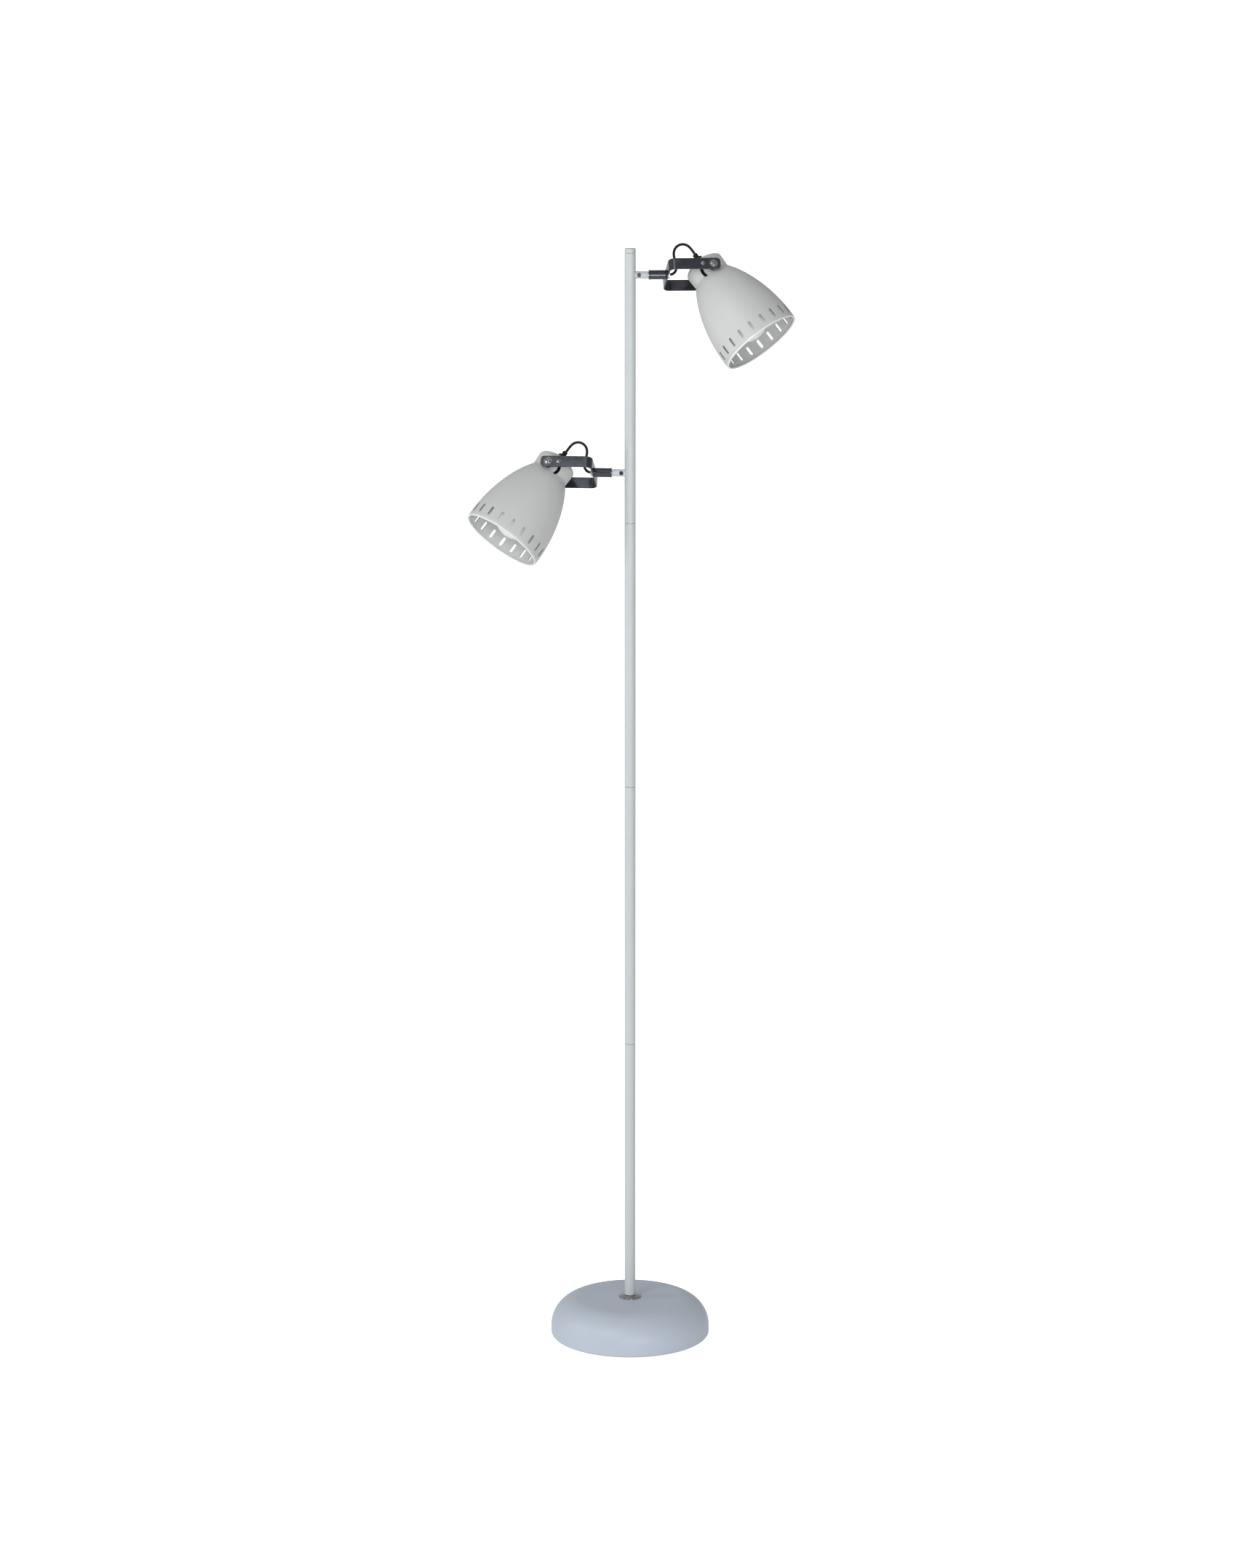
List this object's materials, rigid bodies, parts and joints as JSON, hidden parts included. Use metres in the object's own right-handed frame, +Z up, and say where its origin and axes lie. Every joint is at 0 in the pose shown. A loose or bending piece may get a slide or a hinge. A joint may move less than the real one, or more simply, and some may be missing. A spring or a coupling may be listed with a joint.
{
  "type": "adjustable arm floor lamp",
  "caption": "Slender floor lamp with bell-shaped spot heads that roll and tilt in U yokes on short arms, above a round weighted foot.",
  "frame": {"origin": "middle of the foot's underside, on the floor", "axes": "+Z up the pole, +X towards the upper head's side, -Y towards the lamp's front"},
  "size_m": [0.4362, 0.219, 1.5047],
  "materials": {
    "pole_white": "smooth semi-gloss white enamel on steel tube",
    "foot_white": "smooth semi-gloss cool white enamel on pressed steel",
    "shade_white": "smooth semi-gloss white enamel on spun sheet metal, duller inside",
    "black_chrome": "dark mirror-like black chrome",
    "chrome": "bright mirror chrome",
    "black_steel": "black oxide steel",
    "black_plastic": "moulded satin black plastic",
    "lead_sheath": "soft satin black cable sheath",
    "zinc": "zinc-plated steel",
    "iron": "rough black-painted casting",
    "foam": "closed-cell black foam",
    "porcelain": "glazed off-white terminal block",
    "nickel": "nickel-plated brass",
    "glass": "frosted white bulb glass"
  },
  "bodies": {
    "stand": {"foot_pad": "foam", "foot_plate": "zinc", "foot_ballast": "iron", "foot_cover": "foot_white", "lead_inlet_bush": "black_plastic", "terminal_block": "porcelain", "foot_nipple": "zinc", "foot_nut": "zinc", "foot_spacer": "zinc", "pole_collar": "chrome", "pole_section_1": "pole_white", "pole_section_2": "pole_white", "pole_section_3": "pole_white", "pole_section_4": "pole_white", "pole_joiner_1": "zinc", "pole_joiner_2": "zinc", "pole_joiner_3": "zinc", "pole_cap": "pole_white", "upper_pole_lead": "lead_sheath", "upper_arm_stub": "pole_white", "upper_stub_screw": "black_steel", "upper_spigot": "zinc", "upper_yoke_nut": "zinc", "lower_pole_lead": "lead_sheath", "lower_arm_stub": "pole_white", "lower_stub_screw": "black_steel", "lower_spigot": "zinc", "lower_yoke_nut": "zinc"},
    "upper_yoke_arm": {"upper_sleeve": "black_chrome", "upper_yoke": "black_chrome", "upper_lead_loop": "lead_sheath", "upper_pivot_screw_front": "chrome", "upper_pivot_screw_rear": "chrome", "upper_pivot_nut_front": "zinc", "upper_pivot_nut_rear": "zinc", "upper_stop_screw": "chrome"},
    "upper_spot_head": {"upper_shade": "shade_white", "upper_pivot_spacer_front": "black_plastic", "upper_pivot_spacer_rear": "black_plastic", "upper_holder_stem": "zinc", "upper_strain_relief": "black_plastic", "upper_lampholder": "black_plastic", "upper_bulb_cap": "nickel", "upper_bulb_globe": "glass"},
    "lower_yoke_arm": {"lower_sleeve": "black_chrome", "lower_yoke": "black_chrome", "lower_lead_loop": "lead_sheath", "lower_pivot_screw_front": "chrome", "lower_pivot_screw_rear": "chrome", "lower_pivot_nut_front": "zinc", "lower_pivot_nut_rear": "zinc", "lower_stop_screw": "chrome"},
    "lower_spot_head": {"lower_shade": "shade_white", "lower_pivot_spacer_front": "black_plastic", "lower_pivot_spacer_rear": "black_plastic", "lower_holder_stem": "zinc", "lower_strain_relief": "black_plastic", "lower_lampholder": "black_plastic", "lower_bulb_cap": "nickel", "lower_bulb_globe": "glass"}
  },
  "joints": [
    {"name": "upper_swivel", "type": "hinge", "parent": "stand", "child": "upper_yoke_arm", "pos_m": [0, 0, 1.4643], "axis": [-0.991, -0.134, 0], "range_deg": [-165, 135]},
    {"name": "upper_tilt", "type": "hinge", "parent": "upper_yoke_arm", "child": "upper_spot_head", "pos_m": [0.10554, 0.01427, 1.4643], "axis": [-0.1189, 0.879, -0.4618], "range_deg": [-35, 50], "deforming": ["upper_lead_loop"]},
    {"name": "lower_swivel", "type": "hinge", "parent": "stand", "child": "lower_yoke_arm", "pos_m": [0, 0, 1.2014], "axis": [-0.991, 0.134, 0], "range_deg": [-165, 135]},
    {"name": "lower_tilt", "type": "hinge", "parent": "lower_yoke_arm", "child": "lower_spot_head", "pos_m": [-0.10554, 0.01427, 1.2014], "axis": [-0.116, -0.8582, 0.5], "range_deg": [-35, 50], "deforming": ["lower_lead_loop"]}
  ]
}
